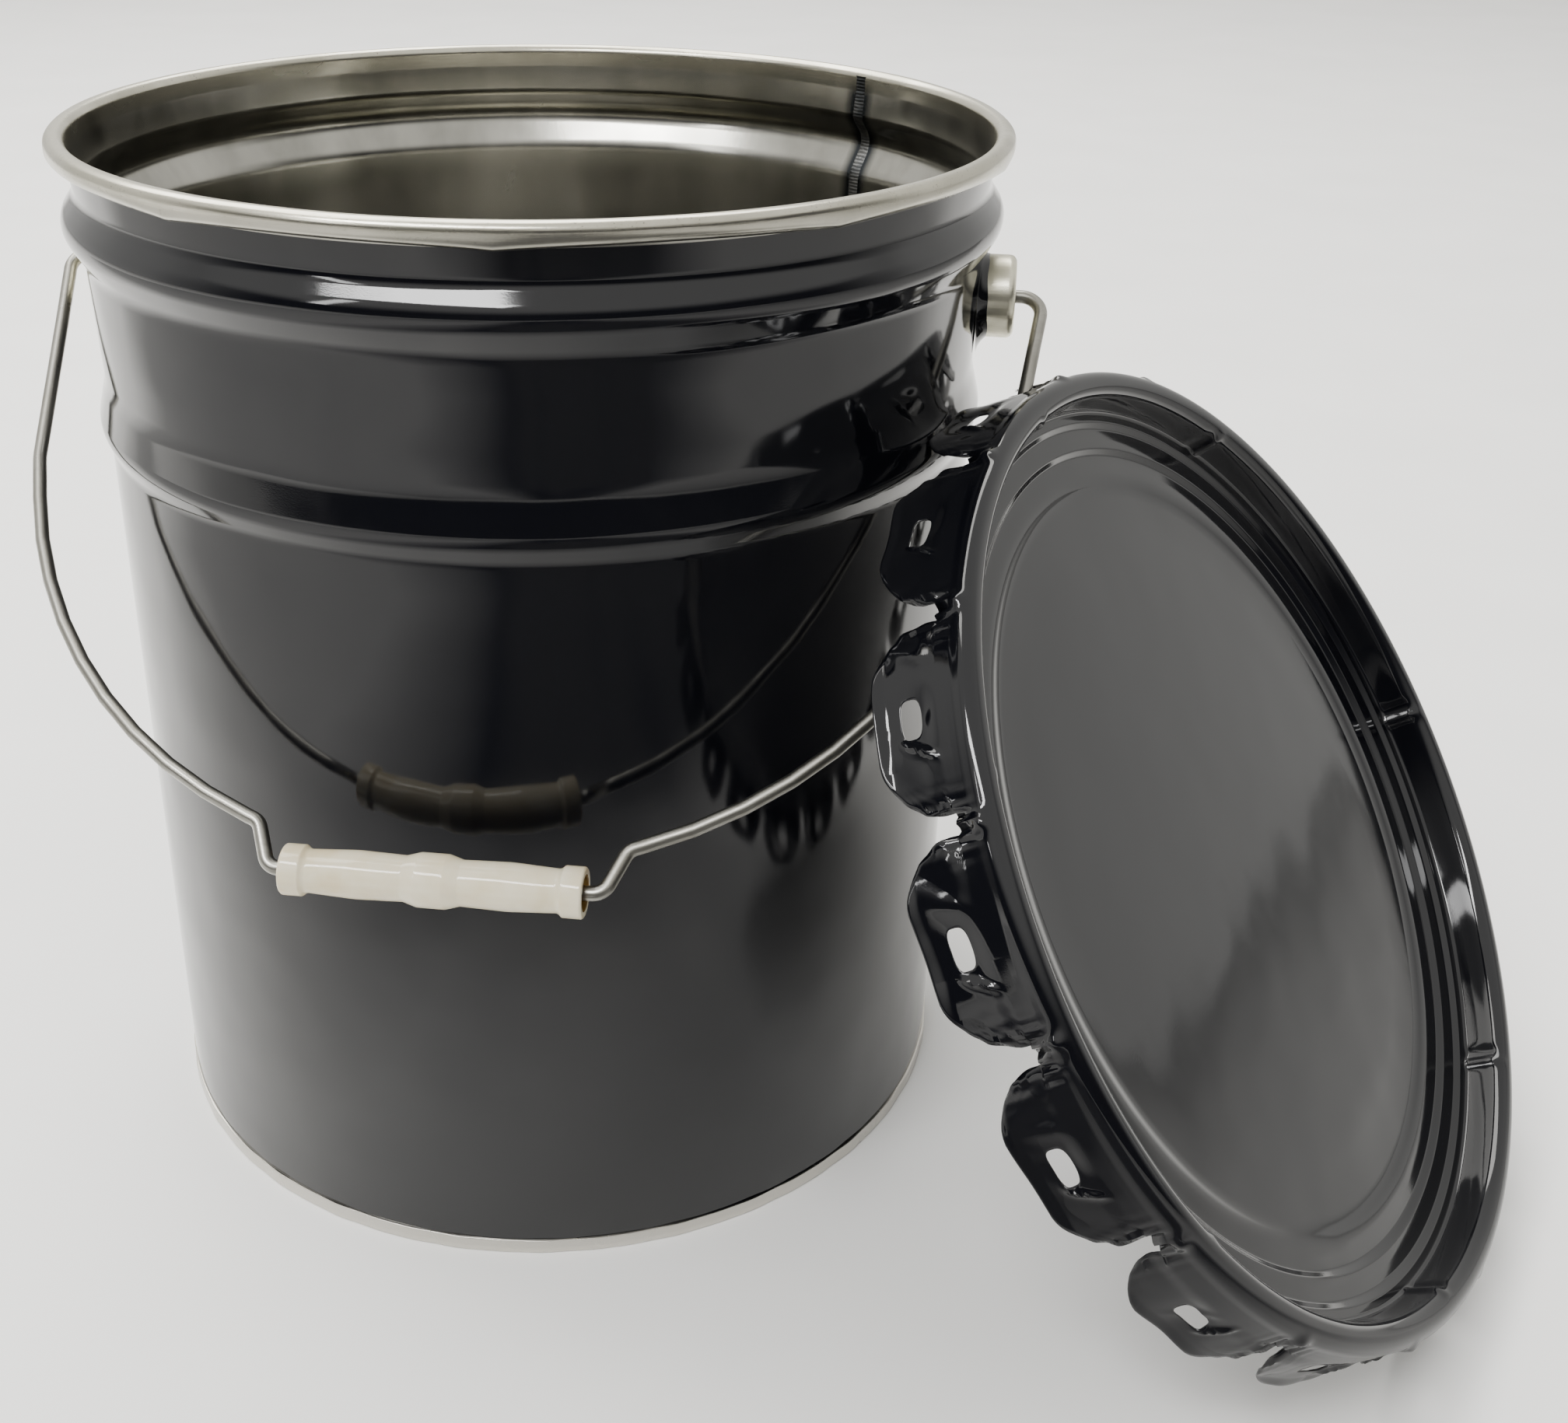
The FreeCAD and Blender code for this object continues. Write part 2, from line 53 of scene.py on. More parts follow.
# Side wall: (radius, height, rounding) of the outer surface.
SHEET = 0.6
WALL = [
    (138.8, 1.4, 0.0),
    (141.95, 243.6, 8.0),
    (144.95, 250.4, 8.0),
    (141.6, 264.0, 20.0),
    (143.35, 302.6, 10.0),
    (150.3, 314.0, 7.5),
    (144.0, 322.5, 5.0),
]
CURL_RADIUS = 151.0
CURL_SECTION = 6.3
PAIL_HEIGHT = 340.0
MOUTH_HEIGHT = 7.5
CURL_CORNERS = tuple(-131.0 + 36.0 * k for k in range(10))
SEAM_HEIGHT = 5.1
WELD_AZIMUTH = 36.0
WELD_HALF_WIDTH = 2.75

# Bail and ears.
EAR_AZIMUTH = -13.1
EAR_HEIGHT = 287.3
EAR_RADIUS = 13.3
BAIL_SWING = 50.2
WIRE_RADIUS = 2.15
WIRE_ROUTE = [
    (0.0, 208.4, 0.0),
    (48.5, 208.4, 5.0),
    (54.0, 195.0, 5.0),
    (127.8, 167.1, 150.0),
    (152.8, 80.0, 20.0),
    (163.4, 0.0, 6.5),
    (149.6, 0.0, 0.0),
]
GRIP_HALF = 43.5

# Lug cover: heights are above the plane of the lug tips.
COVER_CENTRE = (200.90, -119.00, 130.30)
COVER_AZIMUTH = -36.6
COVER_LEAN = 34.5
LUG_SPIN = 5.8
COVER_SHEET = 0.5
COVER_RADIUS = 152.8
CREST = 28.5
LUG_COUNT = 16
LUG_COLUMNS = 64
LUG_ROOT = CREST - 10.5
LUG_ROOT_RADIUS = 153.7
LUG_TIP_RADIUS = 157.4
LUG_HALF_COLUMNS = 29
WIRE_NOTCH = (7, 8)
WIRE_NOTCH_COLUMNS = 27
COVER_FACE = [
    (0.0, CREST - 17.8, 0.0),
    (117.0, CREST - 17.8, 14.0),
    (121.0, CREST - 16.6, 14.0),
    (129.0, CREST - 16.6, 1.5),
    (131.0, CREST - 15.0, 1.5),
    (137.6, CREST - 15.0, 1.5),
    (139.6, CREST - 13.4, 1.5),
    (143.2, CREST - 13.4, 1.5),
    (144.0, CREST, 4.2),
    (152.8, CREST, 4.2),
    (152.8, CREST - 6.0, 6.0),
    (LUG_ROOT_RADIUS, LUG_ROOT, 0.0),
]
CRIMPS = (22.0, 74.0, 130.0, 178.0, 232.0, 285.0, 337.0)
SLOT_CENTRE = CREST - 18.8


# ---------------------------------------------------------------- outlines

def round_corners(corners, closed=False, step=ARC_STEP):
    """Points along straight runs whose corners are rounded by their own radius."""
    count = len(corners)
    points = []
    for i, (x, y, radius) in enumerate(corners):
        here = Vector((x, y))
        if radius == 0.0 or (not closed and i in (0, count - 1)):
            points.append(here)
            continue
        before = (here - Vector(corners[i - 1][:2])).normalized()
        after = (Vector(corners[(i + 1) % count][:2]) - here).normalized()
        turn = before.angle_signed(after)
        side = 1.0 if before.x * after.y - before.y * after.x > 0.0 else -1.0
        turn = abs(turn)
        reach = radius * math.tan(turn / 2.0)
        centre = here - before * reach + Vector((-before.y, before.x)) * radius * side
        spoke = here - before * reach - centre
        pieces = max(2, math.ceil(math.degrees(turn) / step))
        for k in range(pieces + 1):
            angle = side * turn * k / pieces
            points.append(centre + Matrix.Rotation(angle, 2) @ spoke)
    return points


def divide(points, longest):
    """Split the runs between points so that none is longer than a length."""
    result = [points[0]]
    for a, b in zip(points, points[1:]):
        parts = max(1, math.ceil((b - a).length / longest))
        for k in range(1, parts + 1):
            result.append(a.lerp(b, k / parts))
    return result


def smooth_step(low, high, value):
    x = np.clip((value - low) / (high - low), 0.0, 1.0)
    return x * x * (3.0 - 2.0 * x)


def hump(distance, width):
    return np.exp(-((distance / width) ** 2))


def angle_gap(a, b):
    """Signed difference between angles, in degrees."""
    return (a - b + 180.0) % 360.0 - 180.0


# ---------------------------------------------------------------- meshes

def make_object(name, vertices, faces, body, materials, face_material=None, sharp=35.0):
    mesh = bpy.data.meshes.new(name)
    mesh.from_pydata([tuple(v) for v in vertices], [], faces)
    for material in materials:
        mesh.materials.append(material)
    if face_material is not None:
        mesh.polygons.foreach_set("material_index", face_material)
    mesh.polygons.foreach_set("use_smooth", [True] * len(mesh.polygons))
    mesh.update()
    mesh.set_sharp_from_angle(angle=math.radians(sharp))
    piece = bpy.data.objects.new(name, mesh)
    bpy.context.scene.collection.objects.link(piece)
    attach(piece, body)
    return piece


def ring_faces(rows, columns, closed_rows, closed_columns=True):
    """Quads of a grid whose vertex number is column * rows + row."""
    faces = []
    for c in range(columns if closed_columns else columns - 1):
        following = (c + 1) % columns
        for r in range(rows if closed_rows else rows - 1):
            above = (r + 1) % rows
            faces.append((c * rows + r, following * rows + r,
                          following * rows + above, c * rows + above))
    return faces


def turn_outline(points, columns, shape=None):
    """Vertices of an outline turned about Z, each one moved by shape(radius, height, degrees)."""
    radius = np.array([p.x for p in points])[None, :].repeat(columns, 0)
    height = np.array([p.y for p in points])[None, :].repeat(columns, 0)
    degrees = np.linspace(0.0, 360.0, columns, endpoint=False)[:, None].repeat(len(points), 1)
    if shape is not None:
        radius, height = shape(radius, height, degrees)
    angle = np.radians(degrees)
    return np.stack([radius * np.cos(angle), radius * np.sin(angle), height], -1).reshape(-1, 3)


def cover_matrix():
    """Z out of the cover's outer face, X down the slope of its lean."""
    turn = Matrix.Rotation(math.radians(COVER_AZIMUTH), 4, "Z")
    lean = Matrix.Rotation(math.radians(90.0 - COVER_LEAN), 4, "Y")
    spin = Matrix.Rotation(math.radians(LUG_SPIN), 4, "Z")
    return Matrix.Translation(Vector(COVER_CENTRE) * MM) @ turn @ lean @ spin


# ---------------------------------------------------------------- materials

class Nodes:
    """A material's node tree, with short calls for the nodes used here."""

    def __init__(self, name):
        self.material = bpy.data.materials.new(name)
        self.material.use_nodes = True
        self.tree = self.material.node_tree
        self.shader = self.tree.nodes["Principled BSDF"]
        self.place = self.add("ShaderNodeTexCoord").outputs["Object"]

    def add(self, kind, **settings):
        node = self.tree.nodes.new(kind)
        for key, value in settings.items():
            setattr(node, key, value)
        return node

    def link(self, source, target):
        self.tree.links.new(source, target)

    def stretched(self, scale):
        mapping = self.add("ShaderNodeMapping")
        mapping.inputs["Scale"].default_value = scale
        self.link(self.place, mapping.inputs["Vector"])
        return mapping.outputs["Vector"]

    def noise(self, scale, detail=3.0, vector=None, distortion=0.0):
        node = self.add("ShaderNodeTexNoise")
        node.inputs["Scale"].default_value = scale
        node.inputs["Detail"].default_value = detail
        node.inputs["Distortion"].default_value = distortion
        self.link(vector or self.place, node.inputs["Vector"])
        return node.outputs["Fac"]

    def ramp(self, source, stops):
        node = self.add("ShaderNodeValToRGB")
        elements = node.color_ramp.elements
        for index, (position, colour) in enumerate(stops):
            element = elements[index] if index < 2 else elements.new(position)
            element.position = position
            element.color = (*colour, 1.0)
        self.link(source, node.inputs["Fac"])
        return node.outputs["Color"]

    def span(self, source, low, high, start=0.3, end=0.7):
        node = self.add("ShaderNodeMapRange")
        node.inputs["From Min"].default_value = start
        node.inputs["From Max"].default_value = end
        node.inputs["To Min"].default_value = low
        node.inputs["To Max"].default_value = high
        self.link(source, node.inputs["Value"])
        return node.outputs["Result"]

    def math(self, operation, first, second=0.0):
        node = self.add("ShaderNodeMath", operation=operation)
        for socket, value in zip(node.inputs, (first, second)):
            if isinstance(value, float):
                socket.default_value = value
            else:
                self.link(value, socket)
        return node.outputs["Value"]

    def place_in(self, matrix):
        """Split coordinates in the frame of a matrix that only moves and turns."""
        turned = self.add("ShaderNodeMapping", vector_type="TEXTURE")
        turned.inputs["Location"].default_value = matrix.to_translation()
        turned.inputs["Rotation"].default_value = matrix.to_euler()
        self.link(self.place, turned.inputs["Vector"])
        return self.split(turned.outputs["Vector"])

    def split(self, vector):
        parts = self.add("ShaderNodeSeparateXYZ")
        self.link(vector, parts.inputs["Vector"])
        return parts.outputs

    def mix(self, factor, first, second):
        node = self.add("ShaderNodeMix", data_type="RGBA")
        self.link(factor, node.inputs["Factor"])
        for socket, value in ((node.inputs["A"], first), (node.inputs["B"], second)):
            if isinstance(value, tuple):
                socket.default_value = (*value, 1.0)
            else:
                self.link(value, socket)
        return node.outputs["Result"]

    def bump(self, source, depth, before=None):
        node = self.add("ShaderNodeBump")
        node.inputs["Strength"].default_value = 1.0
        node.inputs["Distance"].default_value = depth
        self.link(source, node.inputs["Height"])
        if before is not None:
            self.link(before, node.inputs["Normal"])
        return node.outputs["Normal"]

    def set(self, **values):
        for key, value in values.items():
            self.shader.inputs[key.replace("_", " ")].default_value = value

    def use(self, **sources):
        for key, source in sources.items():
            self.link(source, self.shader.inputs[key.replace("_", " ")])


def lug_wrinkles(n):
    """Height of the sharp little folds in the lugs; 0 on the rest of the cover."""
    place = n.place_in(cover_matrix())
    square = n.math("ADD", n.math("MULTIPLY", place["X"], place["X"]),
                    n.math("MULTIPLY", place["Y"], place["Y"]))
    on_lug = n.span(n.math("SQRT", square), 0.0, 1.0, 0.1532, 0.1548)
    folds = n.math("ABSOLUTE", n.math("SUBTRACT", n.noise(48.0, 1.0), 0.5))
    return n.math("MULTIPLY", on_lug, folds)


def black_enamel(name, waviness, roughness, wrinkles=None, wrinkle_depth=0.0011):
    """Gloss black stoving enamel over pressed steel, with faint flow marks and dust."""
    n = Nodes(name)
    broad = n.noise(14.0, 2.0)
    flow = n.noise(160.0, 4.0, n.stretched((1.0, 1.0, 0.5)))
    dust = n.noise(2600.0, 2.0)
    shape = n.bump(broad, waviness)
    if wrinkles is not None:
        shape = n.bump(wrinkles(n), wrinkle_depth, shape)
    blacks = [(0.3, (0.0018, 0.0020, 0.0032)), (0.7, (0.0030, 0.0031, 0.0042))]
    n.use(
        Base_Color=n.ramp(broad, blacks),
        Roughness=n.span(flow, roughness * 0.8, roughness * 1.3),
        Normal=n.bump(dust, 0.0000035, shape),
    )
    n.set(Metallic=0.0, IOR=1.58)
    return n.material


def near_weld(n):
    """1 in the blued steel beside the weld, fading to 0 a few millimetres away."""
    place = n.place_in(Matrix.Rotation(math.radians(WELD_AZIMUTH), 4, "Z"))
    beside = n.span(n.math("ABSOLUTE", place["Y"]), 1.0, 0.0, 0.0034, 0.0074)
    outward = n.span(place["X"], 0.0, 1.0, 0.1377, 0.1380)
    return n.math("MULTIPLY", beside, outward)


def bare_steel(name):
    """Uncoated steel: smooth inside, with a vertical grain, and scuffed where it is rolled."""
    n = Nodes(name)
    grain = n.noise(900.0, 3.0, n.stretched((1.0, 1.0, 0.03)))
    smudge = n.noise(22.0, 4.0, distortion=0.6)
    streak = n.noise(60.0, 3.0, n.stretched((1.0, 1.0, 0.12)))
    pits = n.noise(1300.0, 2.0)
    scuffs = n.noise(420.0, 4.0, n.stretched((0.2, 0.2, 3.0)))
    height = n.split(n.place)["Z"]
    curl = n.span(height, 0.0, 1.0, 0.331, 0.3385)
    seam = n.span(height, 1.0, 0.0, 0.0052, 0.0056)
    rolled = n.math("MAXIMUM", curl, seam)

    smooth = n.mix(n.span(streak, 0.0, 1.0), (0.31, 0.305, 0.27), (0.46, 0.45, 0.405))
    smooth = n.mix(n.span(smudge, 0.0, 0.55, 0.35, 0.75), smooth, (0.46, 0.45, 0.405))
    smooth = n.mix(near_weld(n), smooth, (0.045, 0.05, 0.055))
    scuffed = n.mix(n.span(smudge, 0.0, 1.0, 0.38, 0.66), (0.68, 0.65, 0.54), (0.48, 0.46, 0.37))
    scuffed = n.mix(n.span(pits, 0.0, 0.6, 0.66, 0.74), scuffed, (0.10, 0.095, 0.075))
    scuffed = n.mix(seam, scuffed, (0.58, 0.56, 0.51))
    marks = n.math("MULTIPLY", rolled, scuffs)
    n.use(
        Base_Color=n.mix(rolled, smooth, scuffed),
        Roughness=n.math("ADD", n.math("MULTIPLY", rolled, 0.04), n.span(smudge, 0.17, 0.28)),
        Normal=n.bump(marks, 0.00005, n.bump(grain, 0.00001)),
    )
    n.set(Metallic=1.0)
    return n.material


def weld_steel():
    """Blued weld bead with its ripple of small overlapping spots."""
    n = Nodes("weld_steel")
    wave = n.add("ShaderNodeTexWave", wave_type="BANDS", bands_direction="Z")
    wave.inputs["Scale"].default_value = 260.0
    wave.inputs["Distortion"].default_value = 1.5
    n.link(n.place, wave.inputs["Vector"])
    heat = n.noise(70.0, 3.0)
    n.use(
        Base_Color=n.ramp(heat, [(0.35, (0.07, 0.075, 0.08)), (0.55, (0.17, 0.17, 0.165)),
                                 (0.7, (0.34, 0.32, 0.27))]),
        Roughness=n.span(heat, 0.3, 0.5),
        Normal=n.bump(n.noise(600.0, 2.0), 0.0002, n.bump(wave.outputs["Fac"], 0.00006)),
    )
    n.set(Metallic=1.0)
    return n.material


def zinc(name, light, dark, scratch_scale, grain, painted_root=False):
    """Scratched zinc plate that has yellowed, with the wall's enamel over an ear's root."""
    n = Nodes(name)
    scratches = n.noise(scratch_scale, 4.0, n.stretched(grain))
    cloud = n.noise(90.0, 4.0, distortion=0.5)
    colour = n.mix(n.span(cloud, 0.0, 1.0), light, dark)
    colour = n.mix(n.span(scratches, 0.0, 0.5, 0.55, 0.75), colour, dark)
    rough = n.span(cloud, 0.26, 0.42)
    n.set(Metallic=1.0)
    if painted_root:
        along_ears = n.place_in(Matrix.Rotation(math.radians(EAR_AZIMUTH), 4, "Z"))["X"]
        ragged = n.math("MULTIPLY", n.noise(160.0, 2.0), 0.0012)
        edge = n.math("ADD", n.math("ABSOLUTE", along_ears), ragged)
        bare = n.span(edge, 0.0, 1.0, 0.1440, 0.1443)
        colour = n.mix(bare, (0.003, 0.003, 0.004), colour)
        rough = n.math("MULTIPLY", rough, n.span(bare, 0.25, 1.0, 0.0, 1.0))
        n.use(Metallic=bare)
    n.use(Base_Color=colour, Roughness=rough, Normal=n.bump(scratches, 0.00003))
    return n.material


def moulded_plastic(name, first, second):
    """Glossy moulded polythene, a little translucent, with swirls of two colours."""
    n = Nodes(name)
    swirl = n.noise(45.0, 4.0, distortion=1.2)
    skin = n.noise(700.0, 2.0)
    n.use(
        Base_Color=n.mix(n.span(swirl, 0.0, 1.0), first, second),
        Roughness=n.span(swirl, 0.05, 0.10),
        Normal=n.bump(skin, 0.000008),
    )
    n.set(Metallic=0.0, IOR=1.5, Subsurface_Weight=0.15, Subsurface_Scale=0.004)
    n.shader.inputs["Subsurface Radius"].default_value = (1.0, 0.6, 0.35)
    return n.material


def soft_rubber(name, light, dark):
    n = Nodes(name)
    cloud = n.noise(60.0, 4.0)
    skin = n.noise(1500.0, 3.0)
    n.use(
        Base_Color=n.mix(n.span(cloud, 0.0, 1.0), light, dark),
        Roughness=n.span(cloud, 0.6, 0.8),
        Normal=n.bump(skin, 0.00003),
    )
    n.set(Metallic=0.0)
    return n.material


ENAMEL = black_enamel("wall_enamel", 0.0012, 0.07)
COVER_ENAMEL = black_enamel("cover_enamel", 0.0006, 0.06, lug_wrinkles)
STEEL = bare_steel("bare_steel")
WELD = weld_steel()
EAR_ZINC = zinc("ear_zinc", (0.88, 0.85, 0.69), (0.64, 0.61, 0.46), 260.0, (0.3, 0.3, 6.0), True)
WIRE_ZINC = zinc("wire_zinc", (0.44, 0.43, 0.39), (0.29, 0.28, 0.245), 700.0, (0.2, 1.0, 1.0))
IVORY = moulded_plastic("ivory", (0.68, 0.635, 0.50), (0.58, 0.50, 0.33))
AMBER = moulded_plastic("amber", (0.17, 0.10, 0.03), (0.30, 0.19, 0.05))
GASKET = soft_rubber("gasket_foam", (0.55, 0.54, 0.50), (0.40, 0.39, 0.35))
COMPOUND = soft_rubber("seam_compound", (0.22, 0.21, 0.19), (0.14, 0.13, 0.12))


# ---------------------------------------------------------------- pail

def dent_curl(radius, height, degrees):
    """Shallow flats and nicks that crimping a cover on and off leaves in the curl."""
    rng = random.Random(7)
    flats = 18
    on_curl = smooth_step(331.0, 335.0, height) * smooth_step(145.5, 148.5, radius)
    for k in range(flats):
        centre = k * 360.0 / flats + rng.uniform(-4.0, 4.0)
        depth = rng.uniform(0.1, 0.4)
        flat = hump(angle_gap(degrees, centre), rng.uniform(4.0, 8.0)) * on_curl
        radius = radius - depth * flat
    underside = smooth_step(338.5, 334.5, height) * smooth_step(145.5, 148.5, radius)
    underside = underside * smooth_step(329.0, 332.0, height)
    for corner in CURL_CORNERS:
        away = np.abs(angle_gap(degrees, corner))
        height = height - 1.7 * np.exp(-away / 7.0) * underside
    sway = 0.12 * np.sin(np.radians(degrees * 3.0 + 40.0))
    sway += 0.08 * np.sin(np.radians(degrees * 7.0))
    body = smooth_step(20.0, 140.0, height) * smooth_step(330.0, 300.0, height)
    return radius + sway * body, height


def make_wall():
    """Side wall and curl as one closed sheet: bare inside and on the curl, enamelled outside."""
    mouth = CURL_RADIUS - CURL_SECTION
    mouth_foot = PAIL_HEIGHT - MOUTH_HEIGHT
    low = PAIL_HEIGHT - CURL_SECTION
    outer_round = CURL_SECTION * 0.46
    inner_round = outer_round - SHEET
    inner = [(r - SHEET, z, bend) for r, z, bend in WALL] + [(mouth, mouth_foot, 6.0)]
    curl = [
        (mouth, PAIL_HEIGHT, outer_round),
        (CURL_RADIUS, PAIL_HEIGHT, outer_round),
        (CURL_RADIUS, low, outer_round),
        (mouth + SHEET + 1.0, low, 0.0),
        (mouth + SHEET + 1.0, low + SHEET, 0.0),
        (CURL_RADIUS - SHEET, low + SHEET, inner_round),
        (CURL_RADIUS - SHEET, PAIL_HEIGHT - SHEET, inner_round),
        (mouth + SHEET, PAIL_HEIGHT - SHEET, inner_round),
    ]
    outer = [(mouth + SHEET, mouth_foot, 6.0)] + WALL[::-1]
    points = round_corners(inner + curl + outer, closed=True)
    points = divide(points + points[:1], 9.0)[:-1]
    vertices = turn_outline(points, WALL_COLUMNS, dent_curl)
    rows = len(points)

    def row_material(row):
        here, following = points[row].y, points[(row + 1) % rows].y
        outside = following < here and (here + following) / 2.0 < low - 1.5
        return 0 if outside else 1

    by_row = [row_material(r) for r in range(rows)]
    faces = ring_faces(rows, WALL_COLUMNS, True)
    wall = make_object("pail_wall", vertices * MM, faces, "pail",
                       [ENAMEL, STEEL], by_row * WALL_COLUMNS)
    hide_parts("pail_shell")


def make_weld():
    """Weld bead that follows the inside of the wall, rippled along its length."""
    mouth = CURL_RADIUS - CURL_SECTION
    path = [(r - SHEET, z, bend) for r, z, bend in WALL]
    path += [(mouth, PAIL_HEIGHT - MOUTH_HEIGHT, 6.0), (mouth, PAIL_HEIGHT - 2.2, 0.0)]
    path[0] = (path[0][0] + 0.1, 9.0, 0.0)
    points = divide(round_corners(path), 1.6)
    across = np.linspace(-1.0, 1.0, 9)
    vertices = []
    for row, point in enumerate(points):
        ripple = 0.03 * math.sin(row * 1.9) + 0.04 * math.sin(row * 0.31)
        half = WELD_HALF_WIDTH + 0.12 * math.sin(row * 0.37) + 0.06 * math.sin(row * 1.3)
        for s in across:
            lift = (0.42 + ripple) * (1.0 - s * s) - 0.12
            radius = point.x - lift
            angle = math.radians(WELD_AZIMUTH) + s * half / point.x
            vertices.append((radius * math.cos(angle), radius * math.sin(angle), point.y))
    faces = ring_faces(len(across), len(points), False, False)
    weld = make_object("weld_bead", np.array(vertices) * MM, faces, "pail", [WELD])
    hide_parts("side_seam_weld")


def ripple_seam(radius, height, degrees):
    """Roller marks left round the bottom seam."""
    outside = smooth_step(138.7, 139.3, radius)
    wave = 0.10 * np.sin(np.radians(degrees * 37.0))
    wave += 0.07 * np.sin(np.radians(degrees * 61.0 + 50.0))
    rise = 0.12 * np.sin(np.radians(degrees * 5.0)) * outside * (height > 3.0)
    return radius + wave * outside, height + rise


def make_end():
    seat = WALL[0][0] - SHEET
    wrap = WALL[0][0] + 0.07
    corners = [
        (0.01, 7.5, 0.0), (121.0, 7.5, 3.0), (125.0, 6.0, 3.0), (seat - SHEET, 6.0, 1.2),
        (seat - SHEET, 0.0, 0.25), (wrap + SHEET, 0.0, 0.55), (wrap + SHEET, SEAM_HEIGHT, 0.25),
        (wrap, SEAM_HEIGHT, 0.0), (wrap, SHEET, 0.0), (seat, SHEET, 0.0), (seat, 6.6, 1.8),
        (125.0, 6.6, 3.0), (121.0, 8.1, 3.0), (0.01, 8.1, 0.0),
    ]
    points = divide(round_corners(corners), 12.0)
    vertices = turn_outline(points, WALL_COLUMNS, ripple_seam)
    faces = ring_faces(len(points), WALL_COLUMNS, False)
    end = make_object("pail_end", vertices * MM, faces, "pail", [STEEL])
    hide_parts("pail_bottom")


# ---------------------------------------------------------------- ears, bail and grip

def bail_matrix():
    """X along the ears' axis, Z from that axis towards the grip."""
    lift = Matrix.Translation((0.0, 0.0, EAR_HEIGHT * MM))
    turn = Matrix.Rotation(math.radians(EAR_AZIMUTH), 4, "Z")
    swing = Matrix.Rotation(math.radians(180.0 - BAIL_SWING), 4, "X")
    return lift @ turn @ swing


def tube(path, radius, sides):
    """Vertices round a path of 3-D points, with the section carried along without twist."""
    vertices = []
    normal = Vector((0.0, 1.0, 0.0))
    for i, point in enumerate(path):
        tangent = (path[min(i + 1, len(path) - 1)] - path[max(i - 1, 0)]).normalized()
        normal = (normal - tangent * normal.dot(tangent)).normalized()
        other = tangent.cross(normal)
        for k in range(sides):
            angle = 2.0 * math.pi * k / sides
            vertices.append(point + (normal * math.cos(angle) + other * math.sin(angle)) * radius)
    return vertices


def make_wire():
    """Bail wire, waving a little off its plane, with its two upset heads."""
    half = divide(round_corners(WIRE_ROUTE, step=6.0), 2.5)
    whole = [Vector((-p.x, p.y)) for p in half[:0:-1]] + half
    rng = random.Random(3)
    waves = [(rng.uniform(0.0, 6.28), rng.uniform(30.0, 70.0)) for _ in range(3)]
    path = []
    for p in whole:
        free = smooth_step(60.0, 75.0, abs(p.x)) * smooth_step(4.0, 30.0, p.y)
        sway = sum(math.sin(p.x / span + phase) for phase, span in waves) * 0.12 * float(free)
        path.append(Vector((p.x, sway, p.y)))
    sides = 20
    vertices = tube(path, WIRE_RADIUS, sides)
    faces = ring_faces(sides, len(path), True, False)
    matrix = bail_matrix() @ Matrix.Scale(MM, 4)
    head_sides = 24
    head = [(149.4, 0.0), (149.4, 3.0), (149.9, 4.0), (151.2, 4.0), (151.6, 3.5), (151.6, 0.0)]
    for side in (-1.0, 1.0):
        start = len(vertices)
        for k in range(head_sides):
            angle = 2.0 * math.pi * k / head_sides
            for x, r in head:
                vertices.append(Vector((side * x, r * math.cos(angle), r * math.sin(angle))))
        faces += [tuple(start + i for i in f) for f in ring_faces(len(head), head_sides, False)]
    wire = make_object("bail_wire_formed", [matrix @ v for v in vertices], faces, "bail",
                       [WIRE_ZINC])
    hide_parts("bail_wire")


def make_grip():
    """Moulded grip: a collar at each end, a bead in the middle and its mould's flash lines."""
    collar, waist, belly, bead = 7.35, 6.2, 6.95, 7.8
    mouth, bore, depth = 5.1, WIRE_RADIUS + 0.06, 12.0
    right = [
        (GRIP_HALF - depth, bore, 0.0), (GRIP_HALF - depth, mouth, 0.0),
        (GRIP_HALF, mouth, 0.4), (GRIP_HALF, collar, 0.8), (GRIP_HALF - 6.0, collar, 0.8),
        (GRIP_HALF - 7.2, waist, 2.0), (22.0, belly, 40.0), (8.2, 6.55, 1.5), (4.0, bead, 3.0),
    ]
    corners = right + [(-x, r, bend) for x, r, bend in right[::-1]]
    points = round_corners(corners + right[:1], step=12.0)[:-1]
    points = divide(points + points[:1], 3.0)[:-1]
    rows = len(points)
    sides = 64
    vertices = []
    for k in range(sides):
        angle = 2.0 * math.pi * k / sides
        seam = max(hump(angle_gap(math.degrees(angle), a), 2.6) for a in (75.0, 255.0))
        for p in points:
            outside = float(smooth_step(5.6, 6.1, p.y))
            r = p.y + 0.07 * seam * outside
            vertices.append(Vector((p.x, r * math.cos(angle), r * math.sin(angle))))
    inside = []
    for row in range(rows):
        a, b = points[row], points[(row + 1) % rows]
        inside.append(1 if max(a.y, b.y) < mouth + 0.2 else 0)
    faces = ring_faces(rows, sides, True)
    place = bail_matrix() @ Matrix.Translation((0.0, 0.0, WIRE_ROUTE[0][1] * MM))
    matrix = place @ Matrix.Scale(MM, 4)
    grip = make_object("grip_moulding", [matrix @ v for v in vertices], faces, "grip",
                       [IVORY, AMBER], inside * sides)
    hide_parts("bail_grip")


